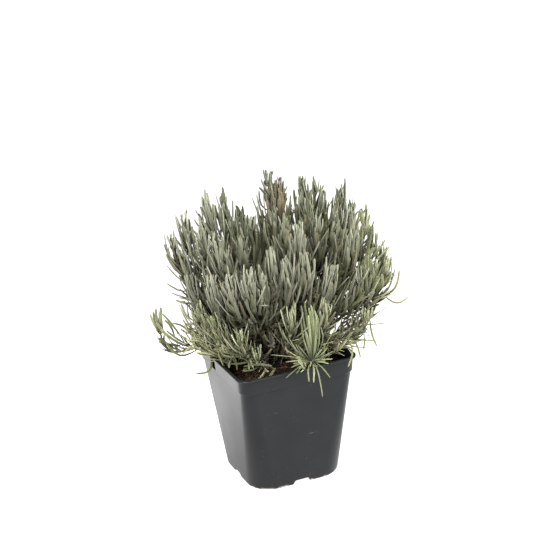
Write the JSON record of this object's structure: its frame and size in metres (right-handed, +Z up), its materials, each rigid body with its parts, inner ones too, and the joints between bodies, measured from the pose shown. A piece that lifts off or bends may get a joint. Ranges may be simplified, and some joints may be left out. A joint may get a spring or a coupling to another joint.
{
  "type": "potted lavender",
  "caption": "Young lavender before it flowers, a mound of narrow grey-green leaves on woody stems, in a square nursery pot of soil.",
  "frame": {"origin": "middle of the pot's foot, on the ground", "axes": "+Z up along the pot's axis; the pot's four faces look along +X, -X, +Y and -Y; the picture looks at the -Y and -X faces"},
  "size_m": [0.2079, 0.1714, 0.2553],
  "materials": {
    "pot": "satin",
    "soil": "matte",
    "bark": "matte",
    "leaf": "matte",
    "young_leaf": "matte",
    "dry_leaf": "matte"
  },
  "bodies": {
    "root": {"pot": "pot", "soil": "soil", "woody_stems": "bark", "shoot_01": "leaf", "shoot_02": "leaf", "shoot_03": "leaf", "shoot_04": "leaf", "shoot_05": "leaf", "shoot_06": "leaf", "shoot_07": "leaf", "shoot_08": "leaf", "shoot_09": "leaf", "shoot_10": "leaf", "shoot_11": "leaf", "shoot_12": "leaf", "shoot_13": "leaf", "shoot_14": "leaf", "shoot_15": "dry_leaf", "shoot_16": "leaf", "shoot_17": "leaf", "shoot_18": "leaf", "shoot_19": "leaf", "shoot_20": "leaf", "shoot_21": "leaf", "shoot_22": "leaf", "shoot_23": "leaf", "shoot_24": "leaf", "shoot_25": "leaf", "shoot_26": "leaf", "shoot_27": "leaf", "shoot_28": "leaf", "shoot_29": "leaf", "shoot_30": "leaf", "shoot_31": "leaf", "shoot_32": "leaf", "shoot_33": "leaf", "shoot_34": "leaf", "shoot_35": "leaf", "shoot_36": "leaf", "shoot_37": "leaf", "shoot_38": "leaf", "shoot_39": "leaf", "shoot_40": "leaf", "shoot_41": "leaf", "shoot_42": "leaf", "shoot_43": "leaf", "shoot_44": "leaf", "shoot_45": "leaf", "shoot_46": "leaf", "shoot_47": "leaf", "shoot_48": "leaf", "shoot_49": "leaf", "shoot_50": "leaf", "shoot_51": "young_leaf", "shoot_52": "young_leaf", "shoot_53": "leaf", "shoot_54": "leaf", "shoot_55": "leaf", "shoot_56": "leaf", "shoot_57": "leaf"}
  },
  "joints": []
}
